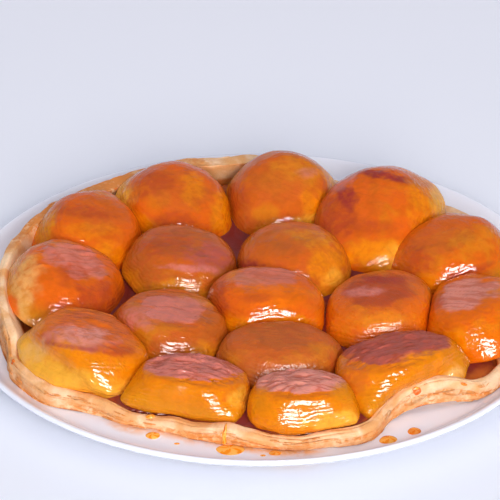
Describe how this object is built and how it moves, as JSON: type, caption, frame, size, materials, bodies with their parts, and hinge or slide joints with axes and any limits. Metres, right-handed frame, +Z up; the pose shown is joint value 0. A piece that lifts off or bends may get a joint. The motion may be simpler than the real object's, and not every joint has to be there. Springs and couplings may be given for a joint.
{
  "type": "tarte tatin",
  "caption": "Round upside-down tart of glazed apple halves packed dome up in a thin wavy pastry case, lying on a shallow white plate.",
  "frame": {"origin": "middle of the plate's foot, on the surface it stands on", "axes": "+Z up; the picture is taken looking along +Y, with +X to its right"},
  "size_m": [0.32, 0.32, 0.05],
  "materials": {
    "caramelised_apple": "soft cooked apple, amber to red-brown, wet with caramel glaze",
    "baked_pastry": "thin flaky pastry, pale golden, dull, soaked orange where the caramel reached it",
    "caramel": "dark glossy caramel",
    "white_glaze": "white glazed porcelain"
  },
  "bodies": {
    "root": {"apple_half_01": "caramelised_apple", "apple_half_02": "caramelised_apple", "apple_half_03": "caramelised_apple", "apple_half_04": "caramelised_apple", "apple_half_05": "caramelised_apple", "apple_half_06": "caramelised_apple", "apple_half_07": "caramelised_apple", "apple_half_08": "caramelised_apple", "apple_half_09": "caramelised_apple", "apple_half_10": "caramelised_apple", "apple_half_11": "caramelised_apple", "apple_half_12": "caramelised_apple", "apple_half_13": "caramelised_apple", "apple_half_14": "caramelised_apple", "apple_half_15": "caramelised_apple", "apple_half_16": "caramelised_apple", "apple_half_17": "caramelised_apple", "pastry_case": "baked_pastry", "caramel_bed": "caramel", "plate": "white_glaze"}
  },
  "joints": []
}
